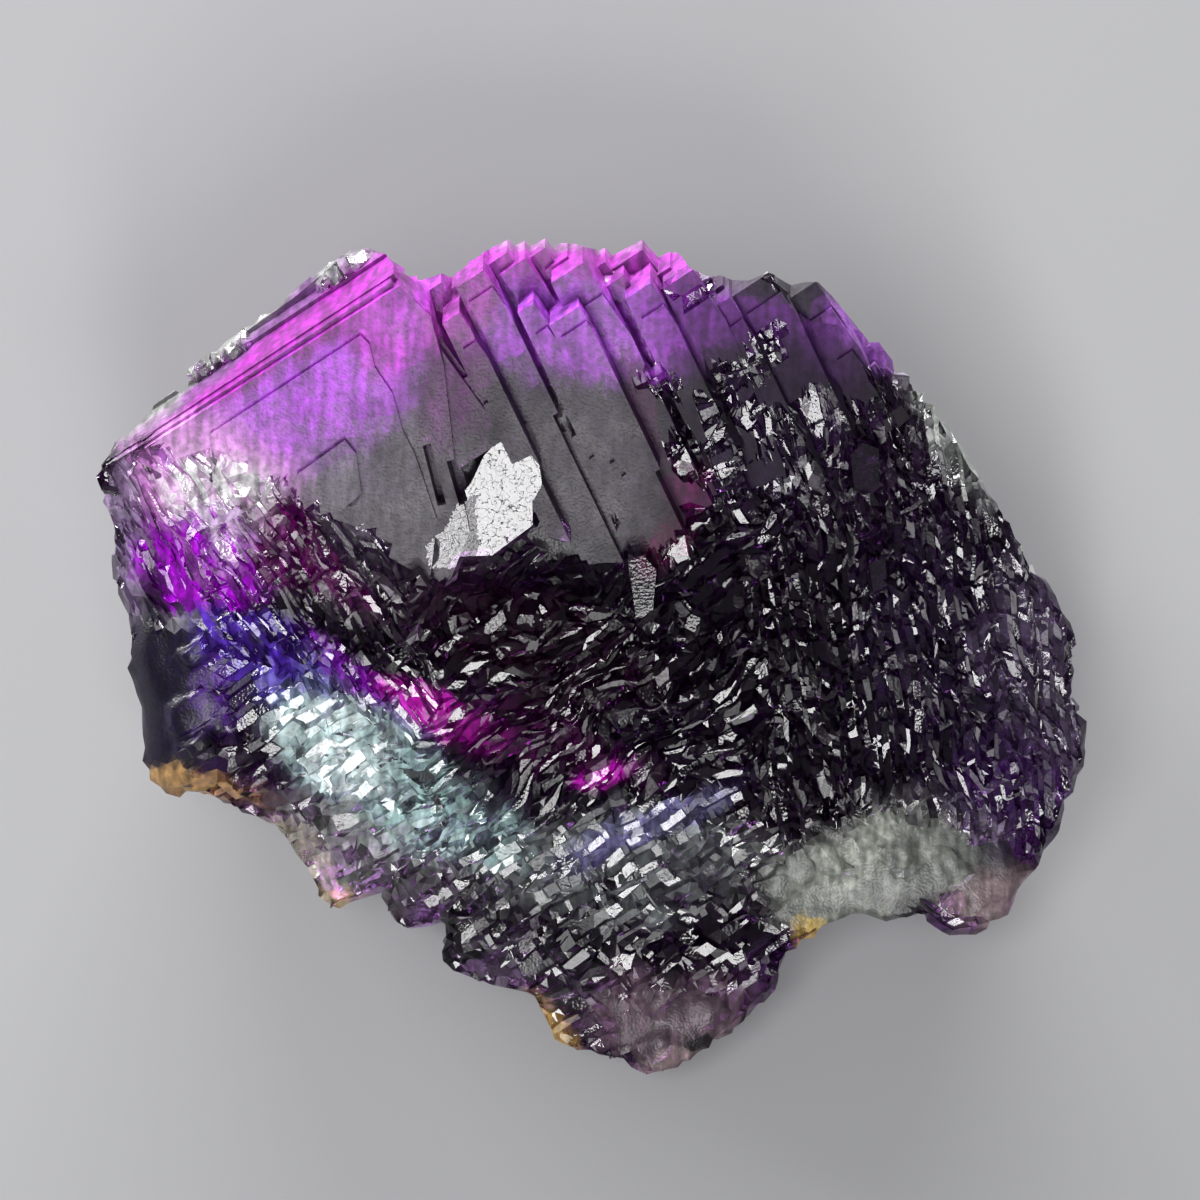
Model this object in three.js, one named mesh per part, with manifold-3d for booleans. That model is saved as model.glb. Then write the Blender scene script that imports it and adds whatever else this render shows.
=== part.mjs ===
// A fluorite specimen: one intergrown mass of parallel cubes, broken off its rock.
// The upper part is one large crystal and a row of long stepped ridges with flat faces.
// The lower part is an etched mosaic of small blocks with a tongue at its foot.
// The back is split along fluorite's octahedral cleavage, and it lies on its cut base.
//
// Two turned frames are used, both in millimetres.
// The display frame has x across the specimen, y up it and z out of its best side.
// The crystal frame has u, v and w along the cube edges, and all the cubes share it.
// The finished solid leans back on its base, with +Z up.

import * as THREE from "three";
import { mergeVertices } from "three/addons/utils/BufferGeometryUtils.js";
import Module from "manifold-3d";

const wasm = await Module();
wasm.setup();

// Driving dimensions
const WIDTH = 79.5; // the whole specimen across
const DEPTH_TO_BASE = 15; // from the display frame's origin down to the base
const LEAN_DEG = 15; // between the base and the display plane
const SPIN_DEG = 34.5; // the cube edges' turn in the display plane
const TILT_DEG = 20; // the cube faces' dip away from the display plane
const RIDGE_RUN_DEG = 10; // how far the long ridges stray from the cube edges
const CUBE_DEPTH = 13; // how far back a crystal of the front reaches
const BACK_SWELL = 24; // the back's depth before it is split

// The places below were laid out for this width, and they scale with WIDTH.
const LAID_OUT_WIDTH = 79.5;
const SIZE = WIDTH / LAID_OUT_WIDTH;

// The rim of the whole mass in the display plane, anticlockwise from the tip of its foot.
const RIM = [
  [4.6, -35.3], [8.1, -33.8], [10.9, -31.5], [12.2, -28.7], [13.9, -27.4], [14.0, -25.8],
  [14.8, -24.2], [17.6, -22.5], [20.2, -21.0], [23.0, -21.8], [26.4, -21.4], [28.4, -22.6],
  [30.0, -22.7], [32.5, -21.0], [34.6, -17.5], [36.6, -14.8], [37.2, -12.2], [38.7, -9.6],
  [38.8, -6.2], [38.2, -5.0], [38.2, -1.0], [37.0, 3.0], [34.1, 7.8], [31.0, 12.4],
  [28.4, 16.5], [25.9, 20.1], [23.0, 23.4], [20.6, 26.2], [18.0, 28.0], [13.6, 28.8],
  [8.1, 29.6], [4.1, 30.6], [-0.7, 30.9], [-5.5, 30.6], [-9.5, 28.8], [-12.7, 28.2],
  [-17.1, 28.6], [-21.5, 26.2], [-28.0, 21.6], [-33.4, 18.4], [-37.6, 16.4], [-40.5, 14.4],
  [-40.4, 13.2], [-39.0, 9.9], [-38.9, 5.4], [-37.6, 2.8], [-38.0, -0.3], [-36.9, -4.6],
  [-36.5, -8.9], [-35.0, -11.7], [-32.0, -11.4], [-29.4, -12.7], [-25.7, -13.8],
  [-25.5, -15.3], [-23.4, -17.5], [-21.9, -20.9], [-19.8, -20.3], [-17.3, -19.0],
  [-17.0, -21.2], [-15.5, -22.7], [-13.2, -21.7], [-12.1, -22.4], [-12.6, -25.0],
  [-10.3, -26.5], [-6.6, -27.4], [-5.2, -27.9], [-4.0, -30.5], [-1.1, -33.0], [1.7, -33.8],
];
const RIM_MIDDLE = [0.9, 1.1];
const RIM_GAP = 3.2; // the longest step along the rim

// Where the flat crystals end and the etched mosaic starts, left to right, with the level
// of the crystals' faces there. A level is w in the crystal frame.
const FOOT = [
  { x: -41, y: 17.5, level: 2.4 },
  { x: -26, y: 14.5, level: 2.4 },
  { x: -20, y: 10.0, level: 2.4 },
  { x: -13.5, y: 5.6, level: 2.4 },
  { x: -5, y: 4.0, level: 0.6 },
  { x: 4, y: 6.5, level: 0.6 },
  { x: 10, y: 11.0, level: -1.4 },
  { x: 18, y: 14.0, level: -2.9 },
  { x: 26, y: 18.0, level: -4.2 },
  { x: 41, y: 24.0, level: -6.5 },
];
const CUBES_STAND_PROUD = 2.6; // of the hollows between them

// The largest crystal, at the upper left. Its face is outlined in the display plane.
const MAIN_CORNER = [-15.9, 28.9];
const MAIN_FACE = [
  MAIN_CORNER, [-37.6, 15.2], [-34, 6], [-15, -2], [-10.4, 9.5], [-11.6, 15.4], [-12.4, 22.6],
  [-13.5, 26.6],
];
const MAIN_LEVEL = 2.1;
// Thin plates grown on it, and how far they rise.
const MAIN_PLATES = [
  {
    rise: 0.4,
    face: [
      [-19.0, 25.0], [-31.0, 17.2], [-30, 6], [-14, 2], [-13.0, 10.4], [-14.2, 14.0],
      [-14.7, 15.5], [-15.7, 17.5], [-16.5, 20.4], [-17.9, 22.5], [-18.3, 24.3],
    ],
  },
  {
    rise: 0.95,
    face: [
      [-20.3, 16.7], [-24.1, 14.0], [-21.5, 11.0], [-20.6, 11.1], [-19.0, 12.5], [-19.4, 15.6],
    ],
  },
];
// The terraces that climb behind its top edge: how far back, up, and short of its corner.
const TERRACES = [
  { back: 0.8, up: 0.45, short: 0.5 },
  { back: 1.9, up: 0.6, short: 0.2 },
  { back: 7.4, up: 0.9, short: 0.6 },
  { back: 9.6, up: 1.7, short: 0.3 },
];
const TERRACE_WIDTH = 29;
const TERRACE_HEIGHT = 16;

// The long ridges, left to right. Each hangs from its topmost corner in the display plane.
// Its brow is the short edge right of that corner, and its shelf is the step down its face.
const RIDGES = [
  { x: -11.2, y: 26.8, level: 0.9, width: 1.6, length: 17, brow: 1.6, shelf: 2.6 },
  { x: -9.3, y: 30.2, level: -1.2, width: 2.6, length: 25, brow: 2.2, shelf: 1.5 },
  { x: -5.3, y: 27.6, level: 0.0, width: 1.5, length: 20, brow: 2.4, shelf: 2.2 },
  { x: -1.7, y: 27.3, level: 1.0, width: 2.8, length: 23, brow: 1.3, shelf: 1.3 },
  { x: -1.4, y: 30.8, level: -1.5, width: 3.0, length: 27, brow: 4.0, shelf: 3.0 },
  { x: 4.0, y: 29.2, level: -1.2, width: 2.4, length: 26, brow: 2.0, shelf: 2.0 },
  { x: 7.4, y: 30.3, level: -2.3, width: 2.9, length: 27, brow: 2.2, shelf: 2.6 },
  { x: 10.3, y: 28.1, level: -2.4, width: 1.7, length: 25, brow: 1.7, shelf: 2.0 },
  { x: 13.5, y: 30.1, level: -3.6, width: 3.6, length: 27, brow: 2.4, shelf: 1.8 },
  { x: 17.2, y: 29.4, level: -4.9, width: 2.4, length: 28, brow: 4.2, shelf: 2.4 },
  { x: 18.9, y: 26.0, level: -4.4, width: 1.8, length: 24, brow: 2.6, shelf: 2.4 },
  { x: 22.0, y: 22.9, level: -5.2, width: 2.4, length: 21, brow: 3.0, shelf: 2.6 },
  { x: 25.6, y: 18.6, level: -5.4, width: 2.0, length: 16, brow: 2.4, shelf: 2.4 },
];
const SHELF_RISE = 0.45;
const JOG = 0.5; // the steps along a ridge's two long edges

// Cubes behind the ridges: the front face's topmost corner, level, width and height.
const REAR_CUBES = [
  { x: -12.7, y: 29.3, level: -3.8, width: 3.0, height: 8 },
  { x: -7.4, y: 31.7, level: -4.4, width: 5.4, height: 9 },
  { x: -6.0, y: 31.2, level: -3.6, width: 2.4, height: 9 },
  { x: -4.4, y: 32.1, level: -5.6, width: 2.4, height: 9 },
  { x: -2.6, y: 31.4, level: -4.8, width: 2.2, height: 9 },
  { x: 0.4, y: 31.0, level: -5.8, width: 2.6, height: 9 },
  { x: 1.9, y: 29.9, level: -3.8, width: 2.4, height: 8 },
  { x: 3.4, y: 32.0, level: -6.4, width: 4.2, height: 10 },
  { x: 5.6, y: 30.6, level: -5.6, width: 2.9, height: 9 },
  { x: 9.8, y: 29.2, level: -5.4, width: 2.7, height: 8 },
];
const REAR_DEPTH = 9;

// The skyline, where the cubes' tops are broken off, right to left in the display plane.
const SKYLINE = [
  [26.0, 19.4], [24.6, 21.3], [22.4, 23.8], [19.9, 26.8], [18.6, 28.3], [17.4, 29.4],
  [16.3, 29.4], [15.3, 29.2], [13.4, 30.1], [11.9, 29.5], [10.6, 29.6], [9.6, 30.0],
  [8.6, 29.8], [7.2, 30.4], [6.5, 31.5], [5.6, 32.3], [3.4, 33.2], [2.5, 32.7], [1.4, 31.9],
  [0.3, 32.2], [-0.9, 32.1], [-2.1, 32.5], [-3.4, 32.6], [-4.4, 33.0], [-5.6, 32.8],
  [-7.0, 33.0], [-9.1, 31.9], [-11.0, 30.4], [-11.9, 29.8], [-12.6, 30.1], [-14.8, 29.4],
  [-15.9, 30.0], [-17.1, 31.6], [-17.8, 31.8], [-20.2, 31.5], [-21.7, 31.0], [-22.6, 29.8],
  [-24.5, 28.2], [-28.4, 25.5], [-30.2, 23.7], [-32.4, 22.6], [-33.9, 21.0], [-36.1, 19.3],
  [-38.1, 17.3], [-39.8, 15.4],
];

// Glassy lumps left on the outer edge of the main crystal, in the display plane.
const LUMPS = [
  { x: -20.3, y: 30.0, z: 3.4, radius: 1.9 },
  { x: -28.9, y: 24.0, z: 2.6, radius: 1.2 },
  { x: -31.4, y: 22.4, z: 2.2, radius: 1.0 },
];

// Flat cleavage windows: outline in the display plane, rise over the etched front, and
// how far the window nods towards the foot and turns to the right.
const WINDOWS = [
  {
    face: [
      [-9.2, 15.6], [-10.3, 13.3], [-12.6, 10.7], [-12.1, 7.3], [-8.7, 7.4], [-5.4, 9.9],
      [-5.4, 11.8], [-4.6, 13.2], [-4.8, 14.8], [-6.2, 16.6], [-8.1, 16.8],
    ],
    rise: 3.0,
    nod: 14,
    turn: -3,
  },
  { face: [[2.2, 7.2], [2.9, 2.6], [4.2, 2.4], [4.5, 6.4], [3.4, 7.6]], rise: 1.0, nod: 10, turn: 5 },
  { face: [[4.3, 8.9], [7.1, 6.4], [6.3, 10.0]], rise: 1.6, nod: 24, turn: 16 },
  { face: [[5.9, 11.6], [8.5, 11.9], [8.6, 14.4], [5.8, 14.2]], rise: 1.4, nod: 20, turn: 4 },
  { face: [[20, 15.6], [20.4, 12.8], [22.4, 13.0], [22.3, 16.1], [21, 16.6]], rise: 1.2, nod: 9, turn: 8 },
  { face: [[21.5, 6.9], [21.9, 4.6], [23.0, 5.1], [22.8, 7.5]], rise: 0.9, nod: 10, turn: 10 },
];
const WINDOW_DEPTH = 6;

// Dark slots between the main crystal and the first window: their two ends.
const SLOTS = [
  { from: [-13.8, 16.2], to: [-12.6, 11.4], level: 2.6 },
  { from: [-11.9, 15.3], to: [-10.9, 11.8], level: 1.6 },
];
const SLOT_WIDTH = 0.7;
const SLOT_DEPTH = 3;

// The mosaic: rows of blocks along the cube edges, and slim upright blocks at the right.
const ROW_GAP = 3.4;
const BLOCK_GAP = 4.8;
const UPRIGHT_GAP = 3.1;

// Cleavage splits of the back. Each faces along a cube's diagonal, at a distance from the
// display frame's origin, and runs a stretch of the rim, so neighbours make steps.
const SPLITS = [
  { facing: [1, -1, -1], distance: 31.4, from: -50, to: -7 },
  { facing: [1, -1, -1], distance: 30.2, from: -7, to: 9 },
  { facing: [1, -1, -1], distance: 27.2, from: 9, to: 50 },
  { facing: [-1, 1, -1], distance: 34.6, from: -6, to: 50 },
  { facing: [-1, 1, -1], distance: 32.6, from: -15, to: -6 },
  { facing: [-1, 1, -1], distance: 30.4, from: -50, to: -15 },
  { facing: [-1, -1, -1], distance: 20.2, from: -12, to: 50 },
  { facing: [-1, -1, -1], distance: 18.6, from: -50, to: -12 },
];
// Rougher breaks, each given by a point on it and the way it faces.
const BREAKS = [
  { at: [0, 33.4, 1.0], facing: [0.03, 0.72, -0.69] },
  { at: [-24, 29.5, -2.6], facing: [-0.42, 0.62, -0.66] },
  { at: [25, 21.5, -3.5], facing: [0.62, 0.38, -0.69] },
  { at: [-12, -24.9, -4.3], facing: [-0.35, -0.62, -0.7] },
  { at: [29, -21.5, -3.9], facing: [0.3, -0.68, -0.67] },
];
// Panels sunk into them: which break, how deep, and the stretch of rim.
const PANELS = [
  { of: 0, depth: 1.3, from: -6, to: 5 },
  { of: 0, depth: 2.2, from: 5, to: 11 },
  { of: 0, depth: 1.7, from: -19, to: -12 },
  { of: 1, depth: 1.2, from: 27, to: 36 },
  { of: 2, depth: 1.4, from: -8, to: 3 },
  { of: 3, depth: 1.1, from: -10, to: 0 },
];
const STRETCH_OVERLAP = 0.1; // between neighbouring stretches

const radians = THREE.MathUtils.degToRad;
const tilt = radians(TILT_DEG);
const crystalTurn = new THREE.Matrix4().makeRotationFromEuler(
  new THREE.Euler(tilt, 0, radians(SPIN_DEG), "XYZ"),
);
const crystalTurnBack = crystalTurn.clone().invert();

// A repeatable random number from 0 to 1 for a place or a count.
function scatter(i, j = 0, k = 0) {
  const s = Math.sin(i * 127.1 + j * 311.7 + k * 74.7) * 43758.5453;
  return s - Math.floor(s);
}

function smooth(low, high, value) {
  return THREE.MathUtils.smoothstep(value, low, high);
}

// Smooth noise from -1 to 1 that changes over about one unit.
function noise(x, y, seed = 0) {
  const i = Math.floor(x);
  const j = Math.floor(y);
  const fx = smooth(0, 1, x - i);
  const fy = smooth(0, 1, y - j);
  const mix = THREE.MathUtils.lerp;
  const low = mix(scatter(i, j, seed), scatter(i + 1, j, seed), fx);
  const high = mix(scatter(i, j + 1, seed), scatter(i + 1, j + 1, seed), fx);
  return 2 * mix(low, high, fy) - 1;
}

function solidOf(geometry) {
  const plain = geometry.index ? geometry.toNonIndexed() : geometry.clone();
  plain.deleteAttribute("normal");
  plain.deleteAttribute("uv");
  const merged = mergeVertices(plain, 1e-4);
  return new wasm.Manifold(
    new wasm.Mesh({
      numProp: 3,
      vertProperties: new Float32Array(merged.attributes.position.array),
      triVerts: new Uint32Array(merged.index.array),
    }),
  );
}

function joined(geometries) {
  return wasm.Manifold.union(geometries.map(solidOf));
}

function geometryOf(solid) {
  const mesh = solid.getMesh();
  const places = new Float32Array(mesh.numVert * 3);
  for (let i = 0; i < mesh.numVert; i++) {
    const at = i * mesh.numProp;
    places.set(mesh.vertProperties.subarray(at, at + 3), i * 3);
  }
  return new THREE.BufferGeometry()
    .setAttribute("position", new THREE.BufferAttribute(places, 3))
    .setIndex(new THREE.BufferAttribute(mesh.triVerts, 1));
}

// z of a crystal face at this level, seen at this height up the display plane.
function faceHeight(y, level) {
  return (level + Math.sin(tilt) * y) / Math.cos(tilt);
}

// The crystal-frame place of a point seen at x, y in the display plane, at a given level.
function onLevel([x, y], level) {
  const seen = new THREE.Vector3(x * SIZE, y * SIZE, faceHeight(y * SIZE, level));
  return seen.applyMatrix4(crystalTurnBack);
}

// The rim's points with long steps divided, in a count that halves twice.
function rimPoints() {
  const points = RIM.flatMap((from, i) => {
    const to = RIM[(i + 1) % RIM.length];
    const parts = Math.ceil(Math.hypot(to[0] - from[0], to[1] - from[1]) / RIM_GAP);
    return Array.from({ length: parts }, (_, k) => [
      THREE.MathUtils.lerp(from[0], to[0], k / parts) * SIZE,
      THREE.MathUtils.lerp(from[1], to[1], k / parts) * SIZE,
    ]);
  });
  while (points.length % 4) {
    const gaps = points.map((p, i) => {
      const next = points[(i + 1) % points.length];
      return Math.hypot(next[0] - p[0], next[1] - p[1]);
    });
    const widest = gaps.indexOf(Math.max(...gaps));
    const [from, to] = [points[widest], points[(widest + 1) % points.length]];
    points.splice(widest + 1, 0, [(from[0] + to[0]) / 2, (from[1] + to[1]) / 2]);
  }
  return points;
}

const rim = rimPoints();
const middle = RIM_MIDDLE.map((value) => value * SIZE);

// A ring inside the rim. The further in it is, the rounder it gets.
function ringAt(share, every) {
  const reach = Math.round((1 - share) * 9);
  return rim
    .map((_, i) => {
      let x = 0;
      let y = 0;
      for (let k = -reach; k <= reach; k++) {
        const near = rim[(i + k + rim.length) % rim.length];
        x += near[0];
        y += near[1];
      }
      const count = 2 * reach + 1;
      return [
        middle[0] + share * (x / count - middle[0]),
        middle[1] + share * (y / count - middle[1]),
      ];
    })
    .filter((_, i) => i % every === 0);
}

// How far out a place lies: 0 at the middle and 1 at the rim.
function shareOut(x, y) {
  const dx = x - middle[0];
  const dy = y - middle[1];
  let share = 0;
  rim.forEach((from, i) => {
    const to = rim[(i + 1) % rim.length];
    const ax = from[0] - middle[0];
    const ay = from[1] - middle[1];
    const bx = to[0] - middle[0];
    const by = to[1] - middle[1];
    const area = ax * by - ay * bx;
    const alongA = (dx * by - dy * bx) / area;
    const alongB = (ax * dy - ay * dx) / area;
    if (alongA >= 0 && alongB >= 0) share = Math.max(share, alongA + alongB);
  });
  return share;
}

// The foot of the crystals at this x: its y, and the level of the faces above it.
function footAt(x) {
  const at = x / SIZE;
  const next = Math.max(1, FOOT.findIndex((point) => point.x >= at));
  const [a, b] = [FOOT[next - 1], FOOT[next]];
  const share = (at - a.x) / (b.x - a.x);
  return {
    y: THREE.MathUtils.lerp(a.y, b.y, share) * SIZE,
    level: THREE.MathUtils.lerp(a.level, b.level, share),
  };
}

// z of the rim, which rises towards the cubes along the top.
function rimLevel(x, y) {
  return 0.2 + 0.09 * y + 0.9 * noise(x / 7, y / 7, 3);
}

// z of the front under the cubes and, below their foot, of the etched mass.
function frontLevel(x, y, share = shareOut(x, y)) {
  const foot = footAt(x);
  const hollow = faceHeight(y, foot.level) - CUBES_STAND_PROUD;
  const bulge = 3.1 * Math.exp(-(((y + 7) / 9) ** 2)) * Math.exp(-(((x - 2) / 24) ** 2));
  const lobe = 2.2 * smooth(-1.2, 1.2, 3.8 - y - 0.35 * (x + 38)) * smooth(20, 29, -x);
  const lumps = 0.9 * noise(x / 6.5, y / 6.5, 1) + 0.6 * noise(x / 3.4, y / 3.4, 2);
  const etched = faceHeight(foot.y, foot.level) + 0.5 + 0.1 * (y - foot.y) + bulge - lobe + lumps;
  const full = THREE.MathUtils.lerp(etched, hollow, smooth(-0.4, 1.8, y - foot.y));
  const swell = Math.max(0, 1 - share ** 4) ** 0.5;
  return THREE.MathUtils.lerp(rimLevel(x, y), full, swell);
}

// z of the back, before it is split.
function backLevel(x, y, share) {
  const swell = Math.max(0, 1 - share ** 3) ** 0.6;
  const lumps = 1.6 * noise(x / 8, y / 8, 5) + 0.8 * noise(x / 4, y / 4, 6);
  const full = -BACK_SWELL + lumps;
  return THREE.MathUtils.lerp(rimLevel(x, y), full, swell);
}

// A closed solid of rings between the rim and a middle point, in front and behind.
function pillow() {
  const places = [];
  const faces = [];
  const put = (x, y, z) => places.push(x, y, z) / 3 - 1;
  const rimRing = rim.map(([x, y]) => put(x, y, rimLevel(x, y)));
  const side = (level, shares, flip) => {
    const face = (a, b, c) => faces.push(...(flip ? [a, c, b] : [a, b, c]));
    let outer = rimRing;
    shares.forEach(([share, every]) => {
      const ring = ringAt(share, every).map(([x, y]) => put(x, y, level(x, y, share)));
      const ratio = outer.length / ring.length;
      ring.forEach((inner, i) => {
        const nextInner = ring[(i + 1) % ring.length];
        const out = (n) => outer[(i * ratio + n) % outer.length];
        face(inner, out(0), out(1));
        face(inner, out(1), nextInner);
        if (ratio === 2) face(nextInner, out(1), out(2));
      });
      outer = ring;
    });
    const centre = put(...middle, level(...middle, 0));
    outer.forEach((from, i) => face(centre, from, outer[(i + 1) % outer.length]));
  };
  const frontRings = [
    [0.96, 1], [0.9, 1], [0.83, 1], [0.75, 1], [0.66, 2], [0.57, 2], [0.47, 2], [0.36, 4],
    [0.24, 4], [0.12, 4],
  ];
  const backRings = [[0.95, 1], [0.87, 1], [0.77, 2], [0.62, 2], [0.42, 4]];
  side(frontLevel, frontRings, false);
  side(backLevel, backRings, true);
  return new THREE.BufferGeometry()
    .setAttribute("position", new THREE.BufferAttribute(new Float32Array(places), 3))
    .setIndex(faces);
}

// A cube of the cluster, hung from its topmost corner in the crystal frame.
function cubeFrom(corner, width, height, depth) {
  return new THREE.BoxGeometry(width, height, depth)
    .translate(corner.x - width / 2, corner.y - height / 2, corner.z - depth / 2)
    .applyMatrix4(crystalTurn);
}

// A crystal whose face is this outline at this level, reaching back square to the face.
function crystalFrom(points, level, depth) {
  return new THREE.ExtrudeGeometry(new THREE.Shape(points), { depth, bevelEnabled: false })
    .translate(0, 0, level - depth)
    .applyMatrix4(crystalTurn);
}

function mainCrystal() {
  const outlined = (face, level) => face.map((point) => onLevel(point, level));
  const corner = onLevel(MAIN_CORNER, MAIN_LEVEL);
  return [
    crystalFrom(outlined(MAIN_FACE, MAIN_LEVEL), MAIN_LEVEL, CUBE_DEPTH),
    ...MAIN_PLATES.map(({ rise, face }) =>
      crystalFrom(outlined(face, MAIN_LEVEL + rise), MAIN_LEVEL + rise, CUBE_DEPTH - 1),
    ),
    ...TERRACES.map(({ back, up, short }) => {
      const from = corner.clone().add(new THREE.Vector3(-short, up, -back));
      return cubeFrom(from, TERRACE_WIDTH - short, TERRACE_HEIGHT, CUBE_DEPTH - back);
    }),
  ];
}

// A ridge and the plate on its face, which starts below the ridge's top edge.
function ridge({ x, y, level, width, length, brow, shelf }, index) {
  const corner = onLevel([x, y], level);
  const run = new THREE.Vector2(0, -1).rotateAround(new THREE.Vector2(), radians(-RIDGE_RUN_DEG));
  const start = new THREE.Vector2(corner.x, corner.y);
  const down = (from, along) => from.clone().addScaledVector(run, along);
  const outline = (top, inset) => {
    const apex = start.clone().add(new THREE.Vector2(-inset * 0.4, -top));
    const right = apex.clone().add(new THREE.Vector2(0, -brow));
    const left = apex.clone().add(new THREE.Vector2(-width + inset, 0));
    const jogAt = length * (0.35 + 0.3 * scatter(index, 1));
    const jogLeftAt = length * (0.25 + 0.4 * scatter(index, 2));
    const jog = new THREE.Vector2(JOG, 0);
    return [
      apex,
      left,
      down(left, jogLeftAt),
      down(left, jogLeftAt).sub(jog),
      down(left, length).sub(jog),
      down(right, length).sub(jog),
      down(right, jogAt).sub(jog),
      down(right, jogAt),
      right,
    ];
  };
  return [
    crystalFrom(outline(0, 0), level, CUBE_DEPTH),
    crystalFrom(outline(shelf, 0.35), level + SHELF_RISE, CUBE_DEPTH - 1),
  ];
}

function rearCube({ x, y, level, width, height }) {
  return cubeFrom(onLevel([x, y], level), width, height, REAR_DEPTH);
}

function lump({ x, y, z, radius }) {
  const stretch = new THREE.Matrix4().makeScale(1.5, 0.8, 0.9);
  return new THREE.IcosahedronGeometry(radius, 1)
    .applyMatrix4(stretch)
    .rotateZ(radians(SPIN_DEG))
    .translate(x * SIZE, y * SIZE, z);
}

// What holds the cubes: the rim's sides and foot, with the skyline in place of its top.
function cubeLimit() {
  const firstAbove = RIM.findIndex(([, y]) => y > SKYLINE[0][1]);
  const lastAbove = RIM.findLastIndex(([, y]) => y > SKYLINE.at(-1)[1]);
  const outline = [...RIM.slice(0, firstAbove), ...SKYLINE, ...RIM.slice(lastAbove + 1)];
  const points = outline.map(([x, y]) => new THREE.Vector2(x * SIZE, y * SIZE));
  const deep = 60;
  return new THREE.ExtrudeGeometry(new THREE.Shape(points), { depth: deep, bevelEnabled: false })
    .translate(0, 0, -deep / 2);
}

// One block of the mosaic, set into the etched front and a little askew.
function block(x, y, width, height, seed) {
  const tall = 4;
  const rise = 0.3 + 0.6 * scatter(seed, 5);
  const askew = new THREE.Euler(
    radians(14 * scatter(seed, 6) - 8),
    radians(16 * scatter(seed, 7) - 8),
    radians(10 * scatter(seed, 8) - 5),
  );
  return new THREE.BoxGeometry(width, height, tall)
    .applyMatrix4(new THREE.Matrix4().makeRotationFromEuler(askew))
    .applyMatrix4(crystalTurn)
    .translate(x, y, frontLevel(x, y) + rise - tall / 2);
}

function mosaicBlocks() {
  const made = [];
  const spin = radians(SPIN_DEG - 8);
  const rows = Math.ceil(WIDTH / 2 / ROW_GAP);
  const places = Math.ceil(WIDTH / 2 / BLOCK_GAP);
  for (let row = -rows; row <= rows; row++) {
    for (let place = -places; place <= places; place++) {
      const seed = row * 100 + place;
      const along = (place + (row % 2) / 2 + 0.5 * scatter(seed, 1)) * BLOCK_GAP;
      const across = (row + 0.4 * scatter(seed, 2)) * ROW_GAP;
      const x = along * Math.cos(spin) - across * Math.sin(spin);
      const y = along * Math.sin(spin) + across * Math.cos(spin);
      const clear = y < footAt(x).y - 1.5 && shareOut(x, y) < 0.9;
      if (!clear || x > 14) continue;
      made.push(block(x, y, 2.3 + 2.4 * scatter(seed, 3), 1.5 + 1.2 * scatter(seed, 4), seed));
    }
  }
  for (let x = 14.5; x < 36; x += UPRIGHT_GAP) {
    for (let y = -17; y < 15; y += UPRIGHT_GAP * 1.6) {
      const seed = Math.round(x * 50 + y);
      const atX = (x + 1.4 * scatter(seed, 1)) * SIZE;
      const atY = (y + 3.2 * scatter(seed, 2)) * SIZE;
      if (atY > footAt(atX).y - 1.5 || shareOut(atX, atY) > 0.88) continue;
      made.push(block(atX, atY, 1.1 + 1.1 * scatter(seed, 3), 2.1 + 1.8 * scatter(seed, 4), seed));
    }
  }
  return made;
}

// A cleavage window: a plate with a flat face, standing in the front.
function cleavageWindow({ face, rise, nod, turn }) {
  const centre = [0, 1].map((k) => face.reduce((sum, p) => sum + p[k], 0) / face.length);
  const points = face.map(([x, y]) =>
    new THREE.Vector2(x - centre[0], y - centre[1]).multiplyScalar(SIZE),
  );
  const [x, y] = centre.map((value) => value * SIZE);
  return new THREE.ExtrudeGeometry(new THREE.Shape(points), {
    depth: WINDOW_DEPTH,
    bevelEnabled: false,
  })
    .translate(0, 0, -WINDOW_DEPTH)
    .rotateX(radians(nod))
    .rotateY(radians(turn))
    .translate(x, y, frontLevel(x, y) + rise);
}

function slot({ from, to, level }) {
  const [start, end] = [onLevel(from, level), onLevel(to, level)];
  const length = start.distanceTo(end);
  return new THREE.BoxGeometry(SLOT_WIDTH, length, 2 * SLOT_DEPTH)
    .rotateZ(Math.atan2(end.y - start.y, end.x - start.x) - Math.PI / 2)
    .translate((start.x + end.x) / 2, (start.y + end.y) / 2, level)
    .applyMatrix4(crystalTurn);
}

// A slab that takes away everything past a flat face. It reaches sideways from one place
// to another along the rim.
function slabPast(facing, distance, from, to) {
  const far = 120;
  const out = facing.clone().normalize();
  const along = new THREE.Vector3(-out.y, out.x, 0).normalize();
  const across = out.clone().cross(along);
  return new THREE.BoxGeometry(to - from + STRETCH_OVERLAP, far, far)
    .translate((from + to) / 2, 0, distance + far / 2)
    .applyMatrix4(new THREE.Matrix4().makeBasis(along, across, out));
}

function backSlabs() {
  const splits = SPLITS.map(({ facing, distance, from, to }) => {
    const way = new THREE.Vector3(...facing).applyMatrix4(crystalTurn);
    return slabPast(way, distance * SIZE, from, to);
  });
  const wide = WIDTH;
  const breakPast = ({ at, facing }, depth, from, to) => {
    const way = new THREE.Vector3(...facing).normalize();
    return slabPast(way, way.dot(new THREE.Vector3(...at)) * SIZE - depth, from, to);
  };
  const breaks = BREAKS.map((broken) => breakPast(broken, 0, -wide, wide));
  const panels = PANELS.map(({ of, depth, from, to }) => breakPast(BREAKS[of], depth, from, to));
  return joined([...splits, ...breaks, ...panels]);
}

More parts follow.
